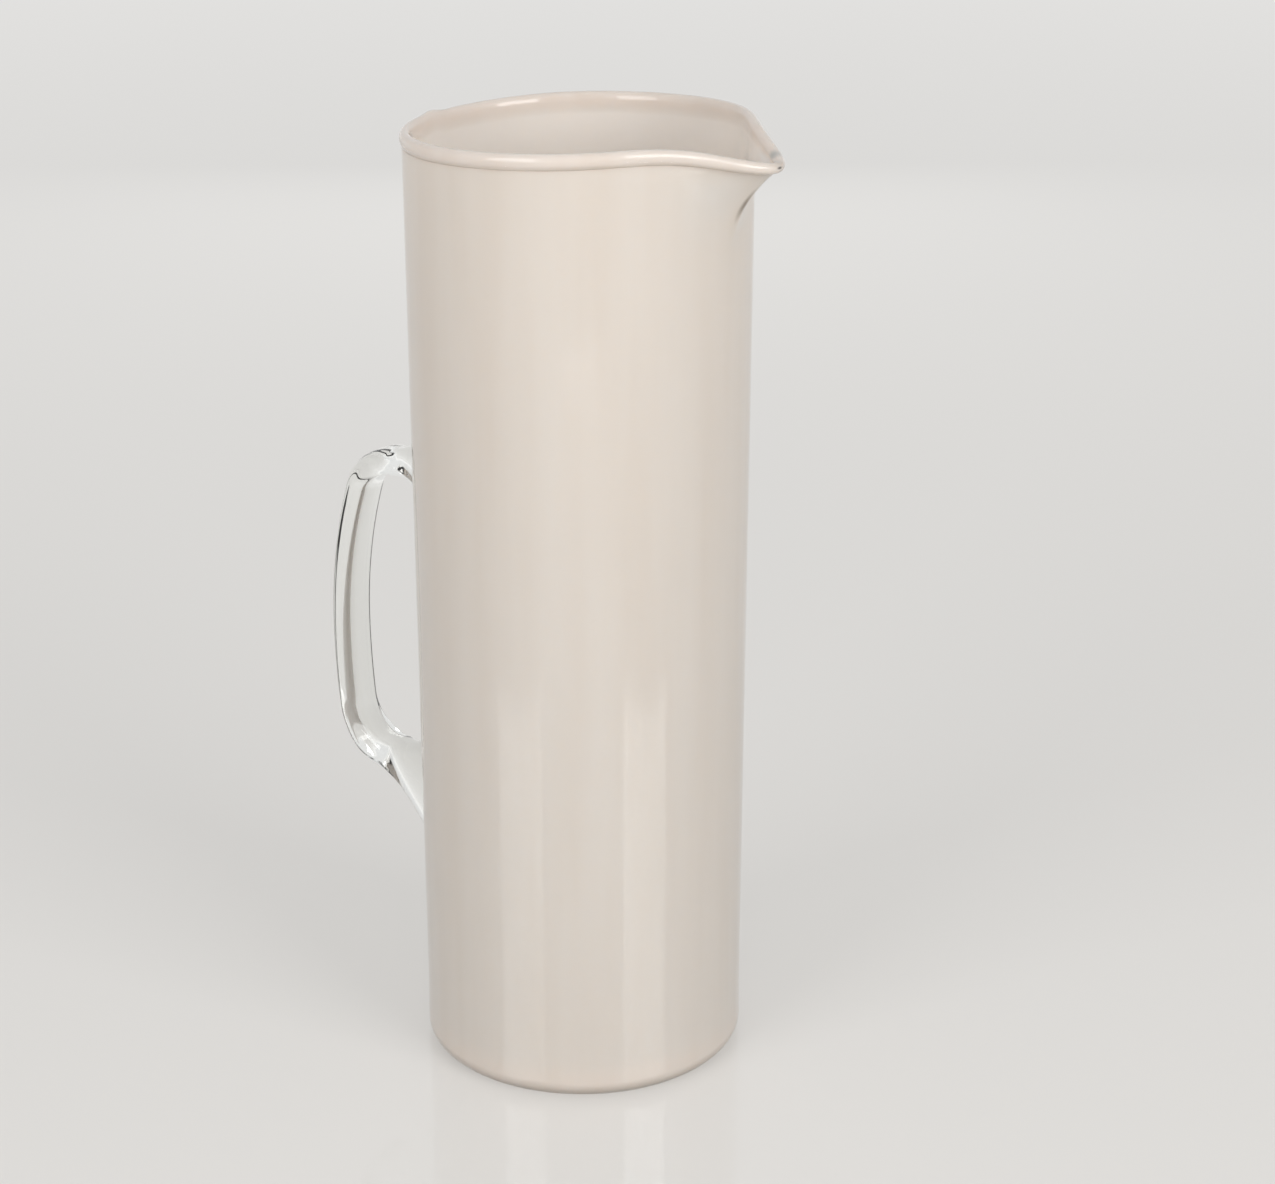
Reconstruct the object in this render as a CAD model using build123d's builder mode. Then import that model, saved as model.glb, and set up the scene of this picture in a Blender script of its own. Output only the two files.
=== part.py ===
from build123d import *
import os
from math import atan2, copysign, cos, exp, hypot, pi, radians, sin, sqrt, tan

# A tall glass jug: opal white glass cased in clear glass, a pulled pouring lip and a clear handle.
# Millimetres, +Z up. The origin is the middle of the base on the standing plane.
# The lip points along +X and the handle along -X.

# Vessel wall: a slightly widening tube of two glass layers
rim_height = 267.8
foot_radius = 45.8
mouth_radius = 47.0
casing_thickness = 0.9
layer_gap = 0.03
opal_thickness = 1.5

# Heel and base: the hot base was set down flat, so the wall swells a little above a rounded heel
heel_radius = 4.6
heel_swell = 0.33
swell_height = 24.0
standing_ring_inner_radius = 34.0
kick_height = 2.2
base_casing_thickness = 1.4
opal_floor_thickness = 3.4
inner_corner_radius = 6.5

# Rim: a fire-polished bead that leans, crests at the shoulders of the lip, falls to its tip
# and is drawn flatter there
bead_width = 3.2
bead_height = 4.2
bead_proud = 0.6
casing_edge_drop = 2.2
rim_tilt = 2.5
crest_start = 33.5
crest_radius = 50.0
lip_fall = 14.5
bead_thinning_share = 0.3
bead_section_count = 20

# Pouring lip: a pinched beak drawn out of the wall
lip_reach = 14.5
throat_height = 27.5
beak_root_angle = 43.6
beak_tip_angle = 6.45
beak_pinch_share = 0.577
beak_point_count = 15
beak_point_crowding = 1.5
throat_shares = (0.0, 0.2, 0.4, 0.6, 0.8, 1.0, 1.25)

# Handle: a flattened clear bar between two pads
bar_breadth = 13.0
bar_thickness = 7.6
bar_edge_radius = 3.4
upper_arm_height = 164.3
upper_arm_length = 19.5
upper_bend_radius = 10.0
upper_bend_turn = 71.5
grip_bow_radius = 145.0
grip_bow_turn = 28.5
lower_bend_radius = 18.0
lower_bend_turn = 63.0

# Pads: each spreads from the bar's end to its seat on the wall
neck_step = 0.3
upper_seat_height = 28.0
upper_seat_breadth = 26.0
upper_seat_drop = 1.8
lower_seat_height = 40.0
lower_seat_breadth = 24.0
lower_seat_drop = 12.2
pad_sink = 4.0
pad_spread_power = 1.4
pad_shares = (0.0, 0.25, 0.5, 0.75, 1.0)

# Worked-out values
root = radians(beak_root_angle)
tip = radians(beak_tip_angle)
tilt = radians(rim_tilt)
fall = radians(lip_fall)
opal_depth = casing_thickness + layer_gap
wall_thickness = opal_depth + opal_thickness
bead_depth = bead_width / 2 - bead_proud
crest_end = crest_start + crest_radius * (sin(tilt) + sin(fall))
crest_start_level = rim_height + crest_start * tan(tilt)
crest_end_level = crest_start_level + crest_radius * (cos(fall) - cos(tilt))
tip_distance = mouth_radius + lip_reach - bead_depth
tip_level = crest_end_level - (tip_distance - crest_end) * tan(fall)
throat_level = tip_level - throat_height


def wall_radius(level):
    """Outer radius of the plain wall at a level."""
    return foot_radius + (mouth_radius - foot_radius) * level / rim_height


def rim_level(distance):
    """Level of the bead's centre line at a distance from the axis towards the lip."""
    if distance < crest_start:
        return rim_height + distance * tan(tilt)
    if distance < crest_end:
        along = crest_start + crest_radius * sin(tilt) - distance
        return crest_start_level + sqrt(crest_radius**2 - along**2) - crest_radius * cos(tilt)
    return crest_end_level - (distance - crest_end) * tan(fall)


def beak_share(angle):
    """Share of the lip's reach at an angle from the tip, and how fast it changes there.

    A rounded peak that dies away to nothing, without a corner, at the root of the beak.
    """
    peak = sqrt(1 + (angle / tip) ** 2)
    fade = 1 - (angle / root) ** 2
    crown = exp(-beak_pinch_share * (peak - 1))
    share = crown * fade**2
    slope = -share * beak_pinch_share * angle / (tip**2 * peak) - 4 * crown * fade * angle / root**2
    return share, slope


def wall_point(angle, level, depth):
    """Point of the wall at an angle from the lip and a level, set in square to the outline.

    The lip stands out with the square of the height above its throat.
    """
    reach = lip_reach * (max(level - throat_level, 0) / throat_height) ** 2
    share, slope = beak_share(angle) if abs(angle) < root else (0, 0)
    radius = wall_radius(level) + reach * share
    along_x = reach * slope * cos(angle) - radius * sin(angle)
    along_y = reach * slope * sin(angle) + radius * cos(angle)
    length = hypot(along_x, along_y)
    return (
        radius * cos(angle) - depth * along_y / length,
        radius * sin(angle) + depth * along_x / length,
    )


def lip_outline(level, depth):
    """Level section of the vessel: a round back and a beak, all tangent."""
    back = wall_radius(level) - depth
    steps = [2 * i / (beak_point_count - 1) - 1 for i in range(beak_point_count)]
    angles = [root * copysign(abs(step) ** beak_point_crowding, step) for step in steps]
    with BuildSketch(Plane.XY.offset(level)) as section:
        with BuildLine():
            if level > throat_level:
                Spline(
                    *[wall_point(angle, level, depth) for angle in angles],
                    tangents=[(sin(root), cos(root)), (-sin(root), cos(root))],
                    tangent_scalars=(1, 1),
                )
            else:
                CenterArc((0, 0), back, -beak_root_angle, 2 * beak_root_angle)
            CenterArc((0, 0), back, beak_root_angle, 180 - beak_root_angle)
            CenterArc((0, 0), back, 180, 180 - beak_root_angle)
        make_face()
    return section.sketch


def above_rim(drop):
    """Everything above the rim line, or above a line lower by a drop."""
    with BuildPart() as form:
        with BuildSketch(Plane.XZ.offset(-rim_height)):
            with BuildLine():
                back = (-rim_height, rim_level(-rim_height) - drop)
                back_rise = Line(back, (crest_start, crest_start_level - drop))
                crest = JernArc(back_rise @ 1, back_rise % 1, crest_radius, -(rim_tilt + lip_fall))
                front_fall = Line(crest @ 1, (rim_height, rim_level(rim_height) - drop))
                top = 2 * rim_height
                Polyline(front_fall @ 1, (rim_height, top), (-rim_height, top), back)
            make_face()
        extrude(amount=2 * rim_height)
    return form.part


def vessel_form(depth, underside, dome, corner, drop):
    """Solid inside one skin of the vessel, set in by a depth, up to the rim line less a drop."""
    foot = (foot_radius + heel_swell - depth, underside)
    ring = (standing_ring_inner_radius - depth, underside)
    swell_top = (wall_radius(swell_height) - depth, swell_height)
    throat = (wall_radius(throat_level) - depth, throat_level)
    cut_above = above_rim(drop)
    sections = [lip_outline(throat_level + share * throat_height, depth) for share in throat_shares]
    with BuildPart() as form:
        with BuildSketch(Plane.XZ) as profile:
            with BuildLine():
                wall = Line(throat, swell_top)
                TangentArc(swell_top, foot, tangent=wall % 1)
                Line(foot, ring)
                TangentArc((0, underside + dome), ring, tangent=(1, 0))
                Line((0, underside + dome), (0, throat_level))
                Line((0, throat_level), throat)
            make_face()
            heel = profile.vertices().sort_by(lambda point: point.X - point.Y)[-1]
            fillet(heel, corner)
        revolve(axis=Axis.Z)
        loft(sections)
        add(cut_above, mode=Mode.SUBTRACT)
    return form.part


# Skins of the vessel, from the outside in
opal_underside = base_casing_thickness + layer_gap
floor_level = opal_underside + opal_floor_thickness
outer_skin = vessel_form(0, 0, kick_height, heel_radius, casing_edge_drop)
seam_skin = vessel_form(
    casing_thickness, base_casing_thickness, kick_height, heel_radius - casing_thickness, 0
)
opal_skin = vessel_form(opal_depth, opal_underside, kick_height, heel_radius - opal_depth, 0)
liquid_skin = vessel_form(wall_thickness, floor_level, kick_height / 2, inner_corner_radius, 0)


def bead_point(angle):
    """Point of the bead's centre line: within the wall, at the level of the rim."""
    level = rim_height
    for _ in range(12):
        level = rim_level(wall_point(angle, level, bead_depth)[0])
    return (*wall_point(angle, level, bead_depth), level)


# Rim bead: half of it lofted along the rim's centre line, flatter towards the lip, then mirrored
bead_shares = [i / beak_point_count for i in range(beak_point_count + 1)]
with BuildPart() as rim_bead:
    with BuildLine():
        rim_line = Spline(
            *[bead_point(pi * share**beak_point_crowding) for share in bead_shares],
            tangents=[(0, 1, 0), (0, -1, 0)],
            tangent_scalars=(1, 1),
        )
    for i in range(bead_section_count + 1):
        share = (i / bead_section_count) ** beak_point_crowding
        spot = rim_line @ share
        run = rim_line % share
        angle = atan2(spot.Y, spot.X)
        flattening = bead_thinning_share * beak_share(angle)[0] if angle < root else 0
        with BuildSketch(Plane(origin=spot, x_dir=run.cross(Vector(0, 0, 1)), z_dir=run)):
            Ellipse(bead_width / 2, bead_height / 2 * (1 - flattening))
    loft()
    mirror(about=Plane.XZ)

# Opal layer: the white glass that holds the liquid, its upper edge melted into the bead
with BuildPart() as opal_body:
    add(opal_skin)
    add(liquid_skin, mode=Mode.SUBTRACT)
    add(rim_bead.part)
opal_body.part.label = "opal_body"

# Clear layer: the colourless glass over the whole outside of the opal, up to the bead
with BuildPart() as clear_casing:
    add(outer_skin)
    add(seam_skin, mode=Mode.SUBTRACT)
clear_casing.part.label = "clear_casing"

# Handle bar: a flattened rod bent outwards, down in a long bow and back in
handle_plane = Plane(origin=(0, 0, 0), x_dir=(-1, 0, 0), z_dir=(0, 1, 0))
upper_neck = (wall_radius(upper_arm_height) + upper_arm_length, upper_arm_height)
with BuildPart() as handle_bar:
    with BuildLine(handle_plane) as bar_path:
        upper_bend = JernArc(upper_neck, (1, 0), upper_bend_radius, -upper_bend_turn)
        bow = JernArc(upper_bend @ 1, upper_bend % 1, grip_bow_radius, -grip_bow_turn)
        lower_bend = JernArc(bow @ 1, bow % 1, lower_bend_radius, -lower_bend_turn)
    with BuildSketch(Plane(origin=bar_path.line @ 0, x_dir=(0, 1, 0), z_dir=bar_path.line % 0)):
        RectangleRounded(bar_breadth, bar_thickness, bar_edge_radius)
    sweep(path=bar_path.line)
handle_bar.part.label = "handle_bar"


def pad_form(neck, incline, drop, seat_height, seat_breadth):
    """Pad of glass from the bar's end to the wall, spreading faster the nearer it is to the wall.

    Its middle line leaves along the bar, bends down by the drop, and ends sunk into the wall.
    """
    reach = -neck.X - wall_radius(neck.Z - drop)
    bend = drop - reach * tan(radians(incline))
    with BuildPart() as form:
        for share in (*pad_shares, 1 + pad_sink / reach):
            spread = share**pad_spread_power
            lean = radians(incline) * max(1 - share, 0)
            level = neck.Z - (drop - bend) * share - bend * share**2
            station = Plane(
                origin=(neck.X + reach * share, 0, level),
                x_dir=(0, 1, 0),
                z_dir=(cos(lean), 0, -sin(lean)),
            )
            with BuildSketch(station):
                Ellipse(
                    bar_breadth / 2 - neck_step + (seat_breadth - bar_breadth) / 2 * spread,
                    bar_thickness / 2 - neck_step + (seat_height - bar_thickness) / 2 * spread,
                )
        loft()
    return form.part


# Upper pad: from the bar's level upper end to the wall
upper_form = pad_form(bar_path.line @ 0, 0, upper_seat_drop, upper_seat_height, upper_seat_breadth)
with BuildPart() as upper_handle_pad:
    add(upper_form)
    add(outer_skin, mode=Mode.SUBTRACT)
upper_handle_pad.part.label = "upper_handle_pad"

# Lower pad: from the bar's leaning lower end to the wall
lower_incline = 180 - upper_bend_turn - grip_bow_turn - lower_bend_turn
lower_form = pad_form(
    bar_path.line @ 1, lower_incline, lower_seat_drop, lower_seat_height, lower_seat_breadth
)
with BuildPart() as lower_handle_pad:
    add(lower_form)
    add(outer_skin, mode=Mode.SUBTRACT)
lower_handle_pad.part.label = "lower_handle_pad"

# Export each piece
os.makedirs("parts", exist_ok=True)
export_step(opal_body.part, "parts/opal_body.step")
export_step(clear_casing.part, "parts/clear_casing.step")
export_step(handle_bar.part, "parts/handle_bar.step")
export_step(upper_handle_pad.part, "parts/upper_handle_pad.step")
export_step(lower_handle_pad.part, "parts/lower_handle_pad.step")
for piece in (opal_body, clear_casing, handle_bar, upper_handle_pad, lower_handle_pad):
    volume = piece.part.volume / 1000
    print(piece.part.label, round(volume, 2), "cubic centimetres", len(piece.solids()), "solid")
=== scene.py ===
import bpy
import numpy as np
from mathutils import Matrix, Vector


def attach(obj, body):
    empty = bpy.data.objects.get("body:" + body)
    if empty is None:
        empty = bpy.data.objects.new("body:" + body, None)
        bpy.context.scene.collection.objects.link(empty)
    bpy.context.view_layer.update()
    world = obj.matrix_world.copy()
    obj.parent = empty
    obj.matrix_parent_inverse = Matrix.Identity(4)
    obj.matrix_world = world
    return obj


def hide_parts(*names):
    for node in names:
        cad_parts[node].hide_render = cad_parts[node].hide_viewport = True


# A tall jug of opal white glass cased in clear glass, with a pulled pouring lip and a clear handle.
# Shapes are worked out in millimetres: +Z up, lip along +X, handle along -X, base centre at zero.

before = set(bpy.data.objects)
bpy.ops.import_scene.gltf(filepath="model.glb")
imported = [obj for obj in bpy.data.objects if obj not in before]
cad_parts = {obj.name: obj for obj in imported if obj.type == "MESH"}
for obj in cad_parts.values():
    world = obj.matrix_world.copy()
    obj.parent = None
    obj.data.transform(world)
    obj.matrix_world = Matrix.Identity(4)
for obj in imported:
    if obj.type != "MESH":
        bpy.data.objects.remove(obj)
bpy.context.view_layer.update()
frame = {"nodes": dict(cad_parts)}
print("packed jug loaded:", ", ".join(frame["nodes"]))


def gridMesh(name, rings, firstPole, lastPole):
    # closed surface through rings (ring, point round, xyz) in millimetres, shut by a fan at each end;
    # the signed volume tells if it is inside out, and then every face is turned round
    ringCount, around = rings.shape[:2]
    points = np.vstack([rings.reshape(-1, 3), firstPole, lastPole]) * 0.001
    index = np.arange(ringCount * around).reshape(ringCount, around)
    beside = np.roll(index, -1, axis=1)
    quads = np.stack([index[:-1], beside[:-1], beside[1:], index[1:]], axis=-1).reshape(-1, 4)
    start, end = ringCount * around, ringCount * around + 1
    startFan = np.stack([np.full(around, start), beside[0], index[0]], axis=-1)
    endFan = np.stack([np.full(around, end), index[-1], beside[-1]], axis=-1)
    fans = np.vstack([startFan, endFan])
    triangles = np.vstack([quads[:, [0, 1, 2]], quads[:, [0, 2, 3]], fans])
    a, b, c = (points[triangles[:, corner]] for corner in range(3))
    if np.sum(a * np.cross(b, c)) < 0:
        quads, fans = quads[:, ::-1], fans[:, ::-1]
    mesh = bpy.data.meshes.new(name)
    mesh.from_pydata(points.tolist(), [], quads.tolist() + fans.tolist())
    mesh.shade_smooth()
    mesh.validate()
    piece = bpy.data.objects.new(name, mesh)
    bpy.context.scene.collection.objects.link(piece)
    return piece


# Form that the opal body and the clear casing share
vessel = {
    "rimHeight": 267.8,
    "footRadius": 45.8,
    "mouthRadius": 47.0,
    "heelSwell": 0.33,
    "swellHeight": 24.0,
    "ringInnerRadius": 34.0,
    "rimTilt": 2.5,
    "crestStart": 33.5,
    "crestRadius": 50.0,
    "lipFall": 14.5,
    "lipReach": 14.5,
    "throatHeight": 29.0,
    "reachPower": 2.4,
    "beakRoot": 43.6,
    "beakTip": 6.45,
    "beakPinch": 0.577,
    "keelRoot": 32.0,  # the beak is narrower and sharper at its foot than at the rim
    "keelTip": 2.4,
    "keelPower": 2.6,
    "keelSoftening": 2.2,  # degrees by which the keel is blunter for each millimetre into the glass
    "beadWidth": 3.2,
    "beadHeight": 4.2,
    "beadProud": 0.58,  # how far the bead stands out past the wall
    "tipThinning": 0.2,  # share of the bead's height that is lost at the tip of the lip
    "lipThinning": 0.12,  # and all along the lip
    "lipSpread": 42.0,  # degrees over which the lip's share fades round the rim
    "rimWaves": (  # height in millimetres, azimuth and width in degrees
        (0.42, 129.0, 26.0),
        (-0.08, 165.0, 6.0),
        (-0.2, 176.0, 4.5),
        (0.62, 184.7, 4.5),
    ),
    "pointsRound": 384,
    "lipCrowding": 1.35,  # over 1, the points round the jug stand closer at the lip
    "domeRings": 16,  # stations of the skin, from the middle of the base up to the rim
    "flatRings": 6,
    "heelRings": 14,
    "swellRings": 12,
    "plainRings": 16,
    "beakRings": 34,
    "beakCrowding": 1.6,  # over 1, the rings stand closer towards the rim
    "centreRounds": 14,  # repeats that find the bead's centre line
    "meetRounds": 40,  # halvings that find where a skin meets the bead
}
tilt, fall = np.radians([vessel["rimTilt"], vessel["lipFall"]])
crestEnd = vessel["crestStart"] + vessel["crestRadius"] * (np.sin(tilt) + np.sin(fall))
crestStartLevel = vessel["rimHeight"] + vessel["crestStart"] * np.tan(tilt)
crestEndLevel = crestStartLevel + vessel["crestRadius"] * (np.cos(fall) - np.cos(tilt))
beadDepth = vessel["beadWidth"] / 2 - vessel["beadProud"]
tipDistance = vessel["mouthRadius"] + vessel["lipReach"] - beadDepth
throatLevel = crestEndLevel - (tipDistance - crestEnd) * np.tan(fall) - vessel["throatHeight"]


def wallRadius(level):
    # straight line from the foot radius at the base to the mouth radius at the rim
    rise = (vessel["mouthRadius"] - vessel["footRadius"]) / vessel["rimHeight"]
    return vessel["footRadius"] + rise * level


def rimLevel(distance):
    # climbs at the tilt, rounds over the crest on an arc, then falls straight to the lip's tip
    radius = vessel["crestRadius"]
    along = np.clip(vessel["crestStart"] + radius * np.sin(tilt) - distance, -radius, radius)
    crest = crestStartLevel + np.sqrt(radius**2 - along**2) - radius * np.cos(tilt)
    climb = vessel["rimHeight"] + distance * np.tan(tilt)
    descent = crestEndLevel - (distance - crestEnd) * np.tan(fall)
    past = np.where(distance < crestEnd, crest, descent)
    return np.where(distance < vessel["crestStart"], climb, past)


def rimWave(angle):
    # sum of bell curves: the slight unevenness that a hand-worked rim has opposite its lip
    total = np.zeros_like(angle)
    for height, azimuth, width in vessel["rimWaves"]:
        away = np.angle(np.exp(1j * (angle - np.radians(azimuth))))
        total += height * np.exp(-((away / np.radians(width)) ** 2))
    return total


def beakShare(angle, level, depth=0.0):
    # rounded peak exp(-pinch (peak - 1)) times a fade to zero at the root, and its slope by angle;
    # both widen from the keel's values at the throat to the beak's at the rim, by a power of the height
    rise = np.clip((level - throatLevel) / vessel["throatHeight"], 0, 1) ** vessel["keelPower"]
    keelTip = vessel["keelTip"] + vessel["keelSoftening"] * depth
    tip = np.radians(keelTip + (vessel["beakTip"] - keelTip) * rise)
    root = np.radians(vessel["keelRoot"] + (vessel["beakRoot"] - vessel["keelRoot"]) * rise)
    peak = np.sqrt(1 + (angle / tip) ** 2)
    fade = np.clip(1 - (angle / root) ** 2, 0, 1)
    crown = np.exp(-vessel["beakPinch"] * (peak - 1))
    share = crown * fade**2
    slope = -share * vessel["beakPinch"] * angle / (tip**2 * peak) - 4 * crown * fade * angle / root**2
    return share, slope


def wallPoint(angle, level, depth):
    # the radius is the wall's plus the beak's reach, which grows with a power of the height over the
    # throat, and the point is then set in by the depth, square to the level outline
    rise = np.maximum(level - throatLevel, 0) / vessel["throatHeight"]
    reach = vessel["lipReach"] * rise ** vessel["reachPower"]
    share, slope = beakShare(angle, level, depth)
    radius = wallRadius(level) + reach * share
    alongX = reach * slope * np.cos(angle) - radius * np.sin(angle)
    alongY = reach * slope * np.sin(angle) + radius * np.cos(angle)
    length = np.hypot(alongX, alongY)
    x = radius * np.cos(angle) - depth * alongY / length
    y = radius * np.sin(angle) + depth * alongX / length
    return np.stack([x, y, level + 0 * x], axis=-1)


# Angles round the vessel, closer together at the lip
turn = np.arange(vessel["pointsRound"]) / vessel["pointsRound"] * 2 - 1
angles = np.pi * np.sign(turn) * np.abs(turn) ** vessel["lipCrowding"]

# Bead's centre line, found by repeating, and its section's two directions and half sizes
level = np.full_like(angles, vessel["rimHeight"])
for _ in range(vessel["centreRounds"]):
    level = rimLevel(wallPoint(angles, level, beadDepth)[:, 0]) + rimWave(angles)
beadCentre = wallPoint(angles, level, beadDepth)
beadRun = np.roll(beadCentre, -1, axis=0) - np.roll(beadCentre, 1, axis=0)
beadRun /= np.linalg.norm(beadRun, axis=1)[:, None]
beadOut = np.cross(beadRun, [0, 0, 1])
beadOut /= np.linalg.norm(beadOut, axis=1)[:, None]
beadUp = np.cross(beadOut, beadRun)
halfWidth = vessel["beadWidth"] / 2
lipBell = np.exp(-((angles / np.radians(vessel["lipSpread"])) ** 2))
thinning = vessel["tipThinning"] * beakShare(angles, level)[0] + vessel["lipThinning"] * lipBell
halfHeight = vessel["beadHeight"] / 2 * (1 - thinning)


def beadSurface(sweep, scale=1.0):
    # ellipse round the centre line: half width times cosine outwards, half height times sine upwards
    out = scale * halfWidth * np.cos(sweep)[..., None] * beadOut
    up = scale * (halfHeight * np.sin(sweep))[..., None] * beadUp
    return beadCentre + out + up


def meetBead(depth):
    # how far below the bead's centre a skin enters the bead, by halving, and the section angle there
    low, high = np.zeros_like(angles), np.full_like(angles, vessel["beadHeight"])
    for _ in range(vessel["meetRounds"]):
        drop = (low + high) / 2
        offset = wallPoint(angles, level - drop, depth) - beadCentre
        across = np.sum(offset * beadOut, axis=1) / halfWidth
        upward = np.sum(offset * beadUp, axis=1) / halfHeight
        inside = across**2 + upward**2 < 1
        low, high = np.where(inside, drop, low), np.where(inside, high, drop)
    return drop, np.arctan2(upward, across)


def footRings(depth, underside, dome, corner):
    # rings from the middle of the base out and up to the top of the swell: a shallow dome arc, a flat
    # ring, a heel arc, and a long arc that leaves the wall tangent and meets the heel tangent
    ringInner = vessel["ringInnerRadius"] - depth
    swellTop = np.array([wallRadius(vessel["swellHeight"]) - depth, vessel["swellHeight"]])
    foot = np.array([vessel["footRadius"] + vessel["heelSwell"] - depth, underside])
    lean = (vessel["mouthRadius"] - vessel["footRadius"]) / vessel["rimHeight"]
    outward = np.array([1, -lean]) / np.hypot(1, lean)
    swellRadius = np.sum((foot - swellTop) ** 2) / (2 * np.dot(outward, foot - swellTop))
    swellCentre = swellTop + swellRadius * outward
    heelLevel = underside + corner
    reach = np.sqrt((swellRadius + corner) ** 2 - (heelLevel - swellCentre[1]) ** 2)
    heelCentre = np.array([swellCentre[0] - reach, heelLevel])
    toSwell = (swellCentre - heelCentre) / (swellRadius + corner)
    domeRadius = (ringInner**2 + dome**2) / (2 * dome)
    domeR = np.linspace(0, ringInner, vessel["domeRings"])[1:]
    domeZ = underside + dome - domeRadius + np.sqrt(domeRadius**2 - domeR**2)
    flatR = np.linspace(ringInner, heelCentre[0], vessel["flatRings"])[1:-1]
    heelEnd = np.arctan2(toSwell[1], toSwell[0])
    heelTurn = np.linspace(-np.pi / 2, heelEnd, vessel["heelRings"])
    heelR = heelCentre[0] + corner * np.cos(heelTurn)
    heelZ = heelCentre[1] + corner * np.sin(heelTurn)
    swellZ = np.linspace(heelZ[-1], swellTop[1], vessel["swellRings"])[1:]
    swellR = swellCentre[0] - np.sqrt(swellRadius**2 - (swellZ - swellCentre[1]) ** 2)
    radius = np.concatenate([domeR, flatR, heelR, swellR])[:, None]
    height = np.concatenate([domeZ, np.full(len(flatR), underside), heelZ, swellZ])[:, None]
    return np.stack([radius * np.cos(angles), radius * np.sin(angles), height + 0 * angles], axis=-1)


def easeRings(start, startRun, end, endRun, count):
    # Hermite cubic from one ring to another that leaves and arrives along the given runs
    share = np.linspace(0, 1, count)[1:-1, None, None]
    reach = np.linalg.norm(end - start, axis=1)[:, None]
    startRun = startRun / np.linalg.norm(startRun, axis=1)[:, None] * reach
    endRun = endRun / np.linalg.norm(endRun, axis=1)[:, None] * reach
    return (
        (2 * share**3 - 3 * share**2 + 1) * start
        + (share**3 - 2 * share**2 + share) * startRun
        + (3 * share**2 - 2 * share**3) * end
        + (share**3 - share**2) * endRun
    )


def wallRings(depth, topDrop, curl=0.0, curlLength=1.0):
    # the straight wall up to the throat, then rings that gather towards the line where the bead starts;
    # there the skin may curl outwards, by exp(-distance / length), to meet the bead in a soft groove
    plain = np.linspace(vessel["swellHeight"], throatLevel, vessel["plainRings"])[1:, None] + 0 * angles
    even = np.linspace(0, 1, vessel["beakRings"])[1:, None]
    share = 1 - (1 - even) ** vessel["beakCrowding"]
    top = level - topDrop
    height = throatLevel + (top - throatLevel) * share
    depths = depth - curl * np.exp(-(top - height) / curlLength)
    return np.concatenate([wallPoint(angles, plain, depth), wallPoint(angles, height, depths)])


# Opal body: the white glass that holds the liquid, with its upper edge melted into the rim bead. Depths
# are measured into the glass from the jug's outside
opal = {
    "outerDepth": 0.93,
    "innerDepth": 2.43,
    "underside": 1.43,
    "kick": 2.2,
    "heelRadius": 3.67,
    "floorLevel": 4.83,
    "floorDome": 1.1,
    "innerCorner": 6.5,
    "shoulderTurn": 0.9,  # radians of the bead's inner side that melt into the wall
    "shoulderDrop": 3.0,
    "lipCrispness": 0.65,  # share of both that is missing at the lip, where the bead stands out
    "beadRings": 40,
    "shoulderRings": 16,
    "smallStep": 0.01,  # by which the shoulder's first and last directions are found
}
outerDrop, outerSweep = meetBead(opal["outerDepth"])
innerDrop, innerSweep = meetBead(opal["innerDepth"])
melting = 1 - opal["lipCrispness"] * lipBell
shoulderSweep = np.mod(innerSweep, 2 * np.pi) - opal["shoulderTurn"] * melting
shoulderDrop = innerDrop + opal["shoulderDrop"] * melting
beadShare = np.linspace(0, 1, opal["beadRings"])[:, None]
bead = beadSurface(outerSweep + (shoulderSweep - outerSweep) * beadShare)
shoulderEnd = wallPoint(angles, level - shoulderDrop, opal["innerDepth"])
belowEnd = wallPoint(angles, level - shoulderDrop - opal["smallStep"], opal["innerDepth"])
beyondBead = beadSurface(shoulderSweep + opal["smallStep"])
shoulder = easeRings(
    bead[-1], beyondBead - bead[-1], shoulderEnd, belowEnd - shoulderEnd, opal["shoulderRings"]
)
opalOutside = footRings(opal["outerDepth"], opal["underside"], opal["kick"], opal["heelRadius"])
opalInside = footRings(opal["innerDepth"], opal["floorLevel"], opal["floorDome"], opal["innerCorner"])
outsideRings = np.concatenate([opalOutside, wallRings(opal["outerDepth"], outerDrop)[:-1], bead])
insideRings = np.concatenate([wallRings(opal["innerDepth"], shoulderDrop)[::-1], opalInside[::-1]])
opalBody = gridMesh(
    "opal_body_glass",
    np.concatenate([outsideRings, shoulder, insideRings]),
    [0, 0, opal["underside"] + opal["kick"]],
    [0, 0, opal["floorLevel"] + opal["floorDome"]],
)

# Share of the inside for the material, which paints light onto the inside: none outside and on the
# bead, all inside, and it rises over the shoulder
blend = np.linspace(0, 1, len(shoulder) + 2)[1:-1]
ringShare = np.concatenate([np.zeros(len(outsideRings)), blend, np.ones(len(insideRings))])
pointShare = np.concatenate([np.repeat(ringShare, vessel["pointsRound"]), [0.0, 1.0]])
inside = opalBody.data.attributes.new("inside", "FLOAT", "POINT")
inside.data.foreach_set("value", pointShare.astype(np.float32))
print("opal body and rim bead made")

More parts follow.
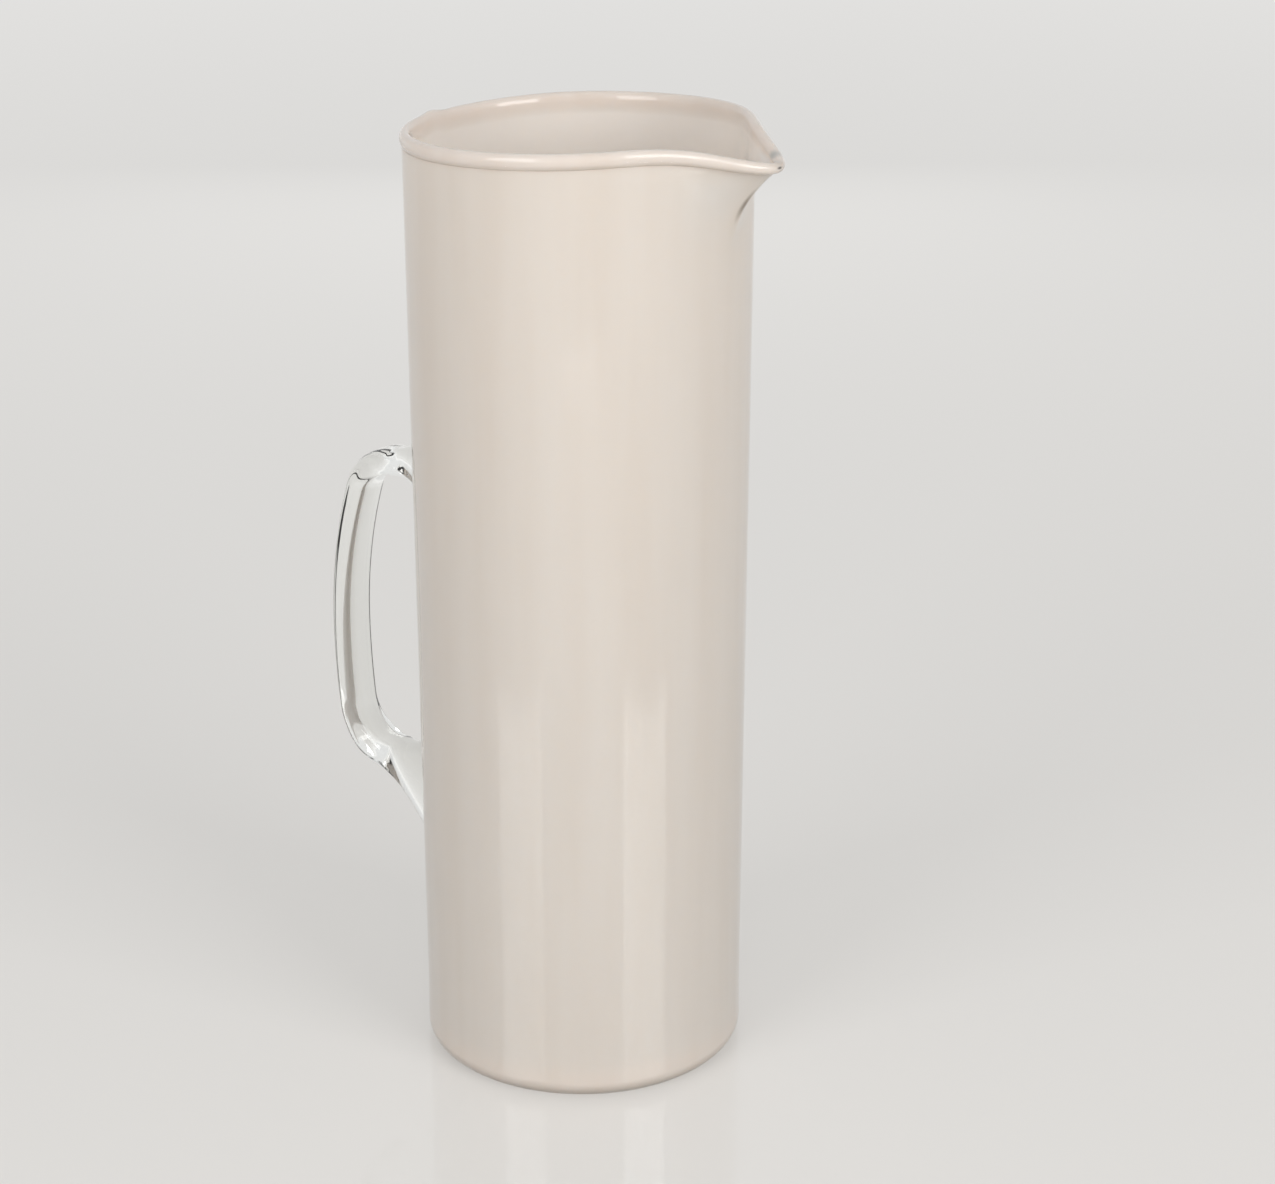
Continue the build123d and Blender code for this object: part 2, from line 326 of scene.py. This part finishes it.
# Clear casing: the colourless glass over the outside. Its inner skin lies just inside the opal, so no
# film of air shows between the two
casing = {
    "thickness": 0.95,
    "baseThickness": 1.45,
    "kick": 2.2,
    "heelRadius": 4.6,
    "grooveCurl": 0.45,
    "grooveLength": 0.7,
    "edgeSink": 0.985,  # size of the hidden edge inside the bead, as a share of the bead
    "edgeRings": 8,
}
edgeDrop, edgeSweep = meetBead(-casing["grooveCurl"])
seamDrop, seamSweep = meetBead(casing["thickness"])
edgeShare = np.linspace(0, 1, casing["edgeRings"])[:, None]
casingOutside = footRings(0.0, 0.0, casing["kick"], casing["heelRadius"])
innerHeel = casing["heelRadius"] - casing["thickness"]
casingInside = footRings(casing["thickness"], casing["baseThickness"], casing["kick"], innerHeel)
casingRings = [
    casingOutside,
    wallRings(0.0, edgeDrop, casing["grooveCurl"], casing["grooveLength"]),
    beadSurface(edgeSweep + (seamSweep - edgeSweep) * edgeShare, casing["edgeSink"]),
    wallRings(casing["thickness"], seamDrop)[::-1],
    casingInside[::-1],
]
clearCasing = gridMesh(
    "clear_casing_glass",
    np.concatenate(casingRings),
    [0, 0, casing["kick"]],
    [0, 0, casing["baseThickness"] + casing["kick"]],
)
print("clear casing made")

# Clear handle: upper pad, bar and lower pad in one melt, as a section carried along the middle line
handle = {
    "barBreadth": 13.0,
    "barThickness": 7.59,
    "barEdge": 3.4,
    "armHeight": 164.3,
    "armLength": 17.28,
    "bends": ((13.0, 72.4), (145.0, 17.6), (240.0, 6.0), (17.0, 67.0)),  # radius and turn of each arc
    "swellHeading": -145.0,  # the lower bend is thicker, most where the bar has turned to here
    "swellTurn": 22.0,
    "outerSwell": 1.2,
    "innerSwell": 0.6,
    "ringsPerBend": 45,
    "neckStep": 0.25,  # how much leaner a pad is than the bar before it spreads
    "neckEase": 0.22,  # share of the pad over which the bar's section melts into the pad's oval
    "padRings": 34,
    "wallEase": 3,  # power by which a pad's rings ease onto the wall's curve
    "seatDepth": 0.45,  # how far the seat goes into the clear casing that it is fused to
    "seatRings": 6,
    "flankEase": 0.35,  # how softly the bar's flat faces turn into its round edges
    "pointsRound": 96,
}

# Seats of the two pads on the wall. A pad's outer, inner (finger) and side faces spread towards the
# seat by a power of the share of the way: the higher the power, the later they spread
upperSeat = {
    "height": 28.0,
    "breadth": 26.0,
    "drop": 1.8,
    "incline": 0.0,
    "outerPower": 1.3,
    "innerPower": 2.8,
    "sidePower": 2.0,
}
lowerSeat = {
    "height": 40.0,
    "breadth": 24.0,
    "drop": 12.2,
    "incline": 17.0,
    "outerPower": 1.4,
    "innerPower": 1.4,
    "sidePower": 1.4,
}

# Middle line of the bar, outward distance and height: arcs that each start along the last one's heading
spot = np.array([wallRadius(handle["armHeight"]) + handle["armLength"], handle["armHeight"]])
heading = 0.0
barSpots, barHeadings = [spot[None]], [np.zeros(1)]
for radius, degrees in handle["bends"]:
    turned = heading - np.radians(degrees) * np.linspace(0, 1, handle["ringsPerBend"])[1:]
    centre = spot + radius * np.array([np.sin(heading), -np.cos(heading)])
    barSpots.append(centre + radius * np.stack([-np.sin(turned), np.cos(turned)], axis=-1))
    barHeadings.append(turned)
    spot, heading = barSpots[-1][-1], turned[-1]
barSpots, barHeadings = np.concatenate(barSpots), np.concatenate(barHeadings)


def padStations(neck, seat):
    # middle line from the neck to the wall, which leaves along the bar and bends by the drop, with
    # half sizes that spread from the bar's to the seat's
    incline = np.radians(seat["incline"])
    reach = neck[0] - wallRadius(neck[1] - seat["drop"])
    bend = seat["drop"] - reach * np.tan(incline)
    share = np.linspace(0, 1, handle["padRings"])
    fallen = (seat["drop"] - bend) * share + bend * share**2
    flat = np.exp(-((share / handle["neckEase"]) ** 2))
    step = handle["neckStep"] * (1 - flat)
    wider = (seat["breadth"] - handle["barBreadth"]) / 2
    taller = (seat["height"] - handle["barThickness"]) / 2
    return {
        "share": share,
        "spots": np.stack([neck[0] - reach * share, neck[1] - fallen], axis=-1),
        "lean": incline * (1 - share),
        "flat": flat,
        "breadth": handle["barBreadth"] / 2 - step + wider * share ** seat["sidePower"],
        "outer": handle["barThickness"] / 2 - step + taller * share ** seat["outerPower"],
        "inner": handle["barThickness"] / 2 - step + taller * share ** seat["innerPower"],
    }


def softSign(x):
    # x over the root of x squared plus ease squared, scaled to be one at one and minus one at minus one
    ease = handle["flankEase"]
    return x * np.sqrt(1 + ease**2) / np.sqrt(x**2 + ease**2)


def seatX(y, z):
    # the casing's round wall a little below its surface, on the handle's side
    return -np.sqrt((wallRadius(z) - handle["seatDepth"]) ** 2 - y**2)


def seatCap(ring, middle):
    # rings that shrink to the middle of the seat and stay on the wall
    share = np.linspace(1, 0, handle["seatRings"] + 1)[1:-1, None]
    y = ring[:, 1] * share
    z = middle + (ring[:, 2] - middle) * share
    return np.stack([seatX(y, z), y, z], axis=-1)


def wholeLength(name, barValue):
    # one value for each station: upper pad from the wall out, bar, lower pad back to the wall
    onBar = np.full(len(barSpots), barValue)
    return np.concatenate([upper[name][:0:-1], onBar, lower[name][1:]])[:, None]


upper = padStations(barSpots[0], upperSeat)
lower = padStations(barSpots[-1], lowerSeat)
spots = np.concatenate([upper["spots"][:0:-1], barSpots, lower["spots"][1:]])
headings = np.concatenate([-upper["lean"][:0:-1], barHeadings, -np.pi + lower["lean"][1:]])
breadths = wholeLength("breadth", handle["barBreadth"] / 2)
flatness = wholeLength("flat", 1.0)
seatShare = wholeLength("share", 0.0)

# Section: a flattened oblong with round edges on the bar, an oval on the pads
around = np.linspace(0, 2 * np.pi, handle["pointsRound"], endpoint=False)
offHeading = (np.degrees(headings) - handle["swellHeading"]) / handle["swellTurn"]
swell = np.exp(-(offHeading**2))[:, None]
outer = wholeLength("outer", handle["barThickness"] / 2) + handle["outerSwell"] * swell
inner = wholeLength("inner", handle["barThickness"] / 2) + handle["innerSwell"] * swell
heights = np.where(np.sin(around) > 0, outer, inner)
edge = handle["barEdge"]
oblongY = (breadths - edge) * softSign(np.cos(around)) + edge * np.cos(around)
oblongH = (heights - edge) * softSign(np.sin(around)) + edge * np.sin(around)
sectionY = flatness * oblongY + (1 - flatness) * breadths * np.cos(around)
sectionH = flatness * oblongH + (1 - flatness) * heights * np.sin(around)
handleX = -spots[:, :1] + sectionH * np.sin(headings)[:, None]
handleZ = spots[:, 1:] + sectionH * np.cos(headings)[:, None]

# Towards the wall each ring eases onto the wall's own curve
handleX = handleX + (seatX(sectionY, handleZ) + wallRadius(handleZ)) * seatShare ** handle["wallEase"]
handleSide = np.stack([handleX, sectionY, handleZ], axis=-1)
upperMiddle, lowerMiddle = spots[0, 1], spots[-1, 1]
handleRings = [
    seatCap(handleSide[0], upperMiddle)[::-1],
    handleSide,
    seatCap(handleSide[-1], lowerMiddle),
]
clearHandle = gridMesh(
    "clear_handle_glass",
    np.concatenate(handleRings),
    [seatX(0, upperMiddle), 0, upperMiddle],
    [seatX(0, lowerMiddle), 0, lowerMiddle],
)
print("clear handle made")


def linear(hexColour):
    # sRGB hex to linear light
    values = np.array([int(hexColour[i : i + 2], 16) for i in (1, 3, 5)]) / 255
    values = np.where(values <= 0.04045, values / 12.92, ((values + 0.055) / 1.055) ** 2.4)
    return (*values.tolist(), 1.0)


def addNode(tree, kind, inputs=None, **settings):
    # one node with its settings; an input takes a plain value, or a link from another node's output
    node = tree.nodes.new(kind)
    for name, value in settings.items():
        setattr(node, name, value)
    for name, value in (inputs or {}).items():
        if isinstance(value, bpy.types.NodeSocket):
            tree.links.new(value, node.inputs[name])
        else:
            node.inputs[name].default_value = value
    return node


def newMaterial(name):
    # a material with an empty node tree
    material = bpy.data.materials.new(name)
    material.use_nodes = True
    material.node_tree.nodes.clear()
    return material


def opalGlass():
    # Opal soda glass, blown: fine crystals scatter the light a few millimetres in, so the white is
    # warm and soft under a sharp gloss, with faint streaks drawn out along the tube
    look = {
        "pale": "#E4D9D0",
        "deep": "#E1D5CB",
        "inside": "#F4E9E0",  # painted light: the skin inside has no clear glass over it and is made whiter, standing in for the light that glows through the opal wall into the jug
        "marks": (
            # middle and half sizes in millimetres, colour: painted shade in the crease under the lip,
            # painted shade on its tip, a painted dark reflection on the inner side of the tip beside
            # it, and a seed
            ((52.0, 0.0, 254.0), (14.0, 1.7, 6.5), "#918578"),
            ((60.8, 0.4, 265.2), (4.6, 4.6, 3.4), "#C9C0B7"),
            ((56.6, 5.4, 266.5), (3.8, 4.0, 2.0), "#B3B3AF"),
            ((62.0, -0.6, 264.8), (1.0, 1.5, 0.5), "#2E2A26"),
        ),
        "streakWidth": 11.0,
        "streakLength": 140.0,
        "streakLow": 0.3,  # noise levels at which the colour is all deep and all pale
        "streakHigh": 0.62,
    }
    material = newMaterial("opal_soda_glass_blown")
    tree = material.node_tree
    place = addNode(tree, "ShaderNodeTexCoord")
    stretch = (1.0, 1.0, look["streakWidth"] / look["streakLength"])
    drawn = addNode(tree, "ShaderNodeMapping", {"Vector": place.outputs["Object"], "Scale": stretch})
    streaks = addNode(
        tree,
        "ShaderNodeTexNoise",
        {"Vector": drawn.outputs["Vector"], "Scale": 1000 / look["streakWidth"], "Detail": 2.0},
    )
    tone = addNode(tree, "ShaderNodeValToRGB", {"Fac": streaks.outputs["Fac"]})
    deepEnd, paleEnd = tone.color_ramp.elements
    deepEnd.position = look["streakLow"]
    paleEnd.position = look["streakHigh"]
    deepEnd.color = linear(look["deep"])
    paleEnd.color = linear(look["pale"])
    colour = tone.outputs["Color"]
    # the first three marks paint shade and a dark reflection onto the opal; the last is a seed
    for middle, halfSizes, markColour in look["marks"]:
        # one at the middle of an ellipsoid, smoothly down to zero at its surface
        scaled = addNode(
            tree,
            "ShaderNodeMapping",
            {
                "Vector": place.outputs["Object"],
                "Location": tuple(-m / h for m, h in zip(middle, halfSizes)),
                "Scale": tuple(1000 / h for h in halfSizes),
            },
        )
        away = addNode(tree, "ShaderNodeVectorMath", {0: scaled.outputs["Vector"]}, operation="LENGTH")
        mask = addNode(
            tree,
            "ShaderNodeMapRange",
            {"Value": away.outputs["Value"], "To Min": 1.0, "To Max": 0.0},
            interpolation_type="SMOOTHSTEP",
        )
        marked = addNode(
            tree,
            "ShaderNodeMix",
            {"Factor": mask.outputs["Result"], 6: colour, 7: linear(markColour)},
            data_type="RGBA",
        )
        colour = marked.outputs[2]
    # painted light inside the jug: the whiter inside colour, mixed in by the share of the inside
    share = addNode(tree, "ShaderNodeAttribute", attribute_name="inside")
    colour = addNode(
        tree,
        "ShaderNodeMix",
        {"Factor": share.outputs["Fac"], 6: colour, 7: linear(look["inside"])},
        data_type="RGBA",
    )
    glass = addNode(
        tree,
        "ShaderNodeBsdfPrincipled",
        {
            "Base Color": colour.outputs[2],
            "Roughness": 0.08,
            "IOR": 1.5,
            "Subsurface Weight": 0.7,
            "Subsurface Radius": (0.004, 0.0037, 0.0034),
            "Subsurface Scale": 1.0,
        },
    )
    addNode(tree, "ShaderNodeOutputMaterial", {"Surface": glass.outputs["BSDF"]})
    return material


def clearGlass():
    # Clear soda glass, fire-polished: colourless, with the sharp gloss of glass that has set by itself
    # and a very shallow waviness that bends the reflections. Lamps and bounced light pass straight in
    look = {"tint": "#FBFCFA", "waveLength": 25.0, "waveHeight": 0.03}
    material = newMaterial("clear_soda_glass_fire_polished")
    tree = material.node_tree
    place = addNode(tree, "ShaderNodeTexCoord")
    waves = addNode(
        tree,
        "ShaderNodeTexNoise",
        {"Vector": place.outputs["Object"], "Scale": 1000 / look["waveLength"], "Detail": 1.0},
    )
    bump = addNode(
        tree,
        "ShaderNodeBump",
        {"Height": waves.outputs["Fac"], "Strength": 1.0, "Distance": look["waveHeight"] / 1000},
    )
    glass = addNode(
        tree,
        "ShaderNodeBsdfPrincipled",
        {
            "Base Color": linear(look["tint"]),
            "Roughness": 0.02,
            "IOR": 1.5,
            "Transmission Weight": 1.0,
            "Normal": bump.outputs["Normal"],
        },
    )
    path = addNode(tree, "ShaderNodeLightPath")
    passing = addNode(
        tree,
        "ShaderNodeMath",
        {0: path.outputs["Is Shadow Ray"], 1: path.outputs["Is Diffuse Ray"]},
        operation="MAXIMUM",
    )
    through = addNode(tree, "ShaderNodeBsdfTransparent", {"Color": (1.0, 1.0, 1.0, 1.0)})
    surface = addNode(
        tree,
        "ShaderNodeMixShader",
        {0: passing.outputs[0], 1: glass.outputs["BSDF"], 2: through.outputs["BSDF"]},
    )
    addNode(tree, "ShaderNodeOutputMaterial", {"Surface": surface.outputs["Shader"]})
    return material


opalMaterial, clearMaterial = opalGlass(), clearGlass()
handleNodes = ("handle_bar", "upper_handle_pad", "lower_handle_pad")
for piece, material, slot, nodes in (
    (opalBody, opalMaterial, "opal_glass", ("opal_body",)),
    (clearCasing, clearMaterial, "clear_casing_glass", ("clear_casing",)),
    (clearHandle, clearMaterial, "clear_handle_glass", handleNodes),
):
    piece.data.materials.append(material)
    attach(piece, "root")
    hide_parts(*nodes)
print("materials made")

# Studio: a pale glossy sheet, two tall softboxes in front, two weak lamps that fill the shade, and an
# even pale surround
studio = {
    "floorColour": "#C0BEBB",
    "floorLift": 0.27,  # extra paleness of the sheet in the picture, in reflections and through glass
    "liftColour": "#FFFDF9",
    "floorHalf": 30.0,
    "surroundLight": 0.42,  # strength of the surround as a light
    "surroundSeen": 0.8,  # and in the picture, in reflections and through glass
    "boxLight": 5.25,
    "boxes": ((44.0, 1.0), (-44.0, 0.76)),  # degrees from the camera's side, share of the light
    "boxDistance": 1.15,
    "boxBottom": 0.365,
    "boxHeight": 0.72,
    "boxWidth": 0.65,
    # weak square lamps that no gloss shows, one low under the camera and one behind the jug: degrees
    # from the camera's side, distance, height, size and strength
    "fills": ((0.0, 0.8, 0.12, 0.3, 3.0), (180.0, 1.2, 0.45, 0.6, 1.0)),
}


def seenRay(tree):
    # one for rays from the camera, from a gloss or through glass, zero for rays that light things
    path = addNode(tree, "ShaderNodeLightPath")
    seen = path.outputs["Is Camera Ray"]
    for other in ("Is Glossy Ray", "Is Transmission Ray"):
        either = {0: seen, 1: path.outputs[other]}
        seen = addNode(tree, "ShaderNodeMath", either, operation="MAXIMUM").outputs[0]
    return seen


half = studio["floorHalf"]
floorCorners = [(-half, -half, 0), (half, -half, 0), (half, half, 0), (-half, half, 0)]
floorMesh = bpy.data.meshes.new("floor")
floorMesh.from_pydata(floorCorners, [], [(0, 1, 2, 3)])
floor = bpy.data.objects.new("floor", floorMesh)
bpy.context.scene.collection.objects.link(floor)
floorMaterial = newMaterial("pale_acrylic_sheet")
tree = floorMaterial.node_tree
sheet = addNode(
    tree,
    "ShaderNodeBsdfPrincipled",
    {"Base Color": linear(studio["floorColour"]), "Roughness": 0.05, "IOR": 1.6},
)
lift = addNode(tree, "ShaderNodeMath", {0: seenRay(tree), 1: studio["floorLift"]}, operation="MULTIPLY")
glow = addNode(
    tree,
    "ShaderNodeEmission",
    {"Color": linear(studio["liftColour"]), "Strength": lift.outputs[0]},
)
both = addNode(tree, "ShaderNodeAddShader", {0: sheet.outputs["BSDF"], 1: glow.outputs["Emission"]})
addNode(tree, "ShaderNodeOutputMaterial", {"Surface": both.outputs["Shader"]})
floorMesh.materials.append(floorMaterial)

world = bpy.data.worlds.new("studio")
bpy.context.scene.world = world
world.use_nodes = True
tree = world.node_tree
surround = addNode(
    tree,
    "ShaderNodeMath",
    {0: seenRay(tree), 1: studio["surroundSeen"] - studio["surroundLight"], 2: studio["surroundLight"]},
    operation="MULTIPLY_ADD",
)
background = tree.nodes["Background"]
background.inputs["Color"].default_value = (1.0, 1.0, 1.0, 1.0)
tree.links.new(surround.outputs[0], background.inputs["Strength"])

# Camera: distance and height in metres, azimuth in degrees, and its small turns in radians
view = {
    "distance": 0.7468,
    "height": 0.4191,
    "azimuth": 34.0,
    "pitch": 0.36168,
    "yaw": 0.02106,
    "roll": 0.00107,
    "lens": 80.1,
    "sensor": 36.0,
    "nearest": 0.01,
    "farthest": 100.0,
}
cameraSide = np.radians(view["azimuth"] - 90)


def addLamp(name, offset, distance, height, size, strength):
    # upright rectangle that faces the jug's axis; its energy grows with its area, so that its own
    # brightness stays the strength
    azimuth = cameraSide + np.radians(offset)
    outward = Vector((np.cos(azimuth), np.sin(azimuth), 0))
    lamp = bpy.data.lights.new(name, "AREA")
    lamp.shape = "RECTANGLE"
    lamp.size, lamp.size_y = size
    lamp.energy = strength * size[0] * size[1] * np.pi
    holder = bpy.data.objects.new(name, lamp)
    holder.location = outward * distance
    holder.location.z = height
    holder.rotation_euler = outward.to_track_quat("Z", "Y").to_euler()
    holder.visible_camera = False
    bpy.context.scene.collection.objects.link(holder)
    return holder


boxSize = (studio["boxWidth"], studio["boxHeight"])
boxMiddle = studio["boxBottom"] + studio["boxHeight"] / 2
for offset, share in studio["boxes"]:
    addLamp("softbox", offset, studio["boxDistance"], boxMiddle, boxSize, studio["boxLight"] * share)
for offset, distance, height, size, strength in studio["fills"]:
    fill = addLamp("fill", offset, distance, height, (size, size), strength)
    fill.visible_glossy = False
    fill.visible_transmission = False

pitch, yaw, roll = view["pitch"], view["yaw"], view["roll"]
forward = Vector((np.sin(yaw) * np.cos(pitch), np.cos(yaw) * np.cos(pitch), -np.sin(pitch)))
right = Vector((np.cos(yaw), -np.sin(yaw), 0))
up = right.cross(forward)
right, up = right * np.cos(roll) + up * np.sin(roll), up * np.cos(roll) - right * np.sin(roll)
swing = Matrix.Rotation(np.radians(view["azimuth"]), 4, "Z")
stand = Matrix.Translation((0, -view["distance"], view["height"]))
camera = bpy.data.objects.new("camera", bpy.data.cameras.new("camera"))
camera.data.sensor_width = view["sensor"]
camera.data.lens = view["lens"]
camera.data.clip_start = view["nearest"]
camera.data.clip_end = view["farthest"]
camera.matrix_world = swing @ stand @ Matrix([right, up, -forward]).transposed().to_4x4()
bpy.context.scene.collection.objects.link(camera)
bpy.context.scene.camera = camera
bpy.context.scene.view_settings.view_transform = "Standard"
print("studio made")
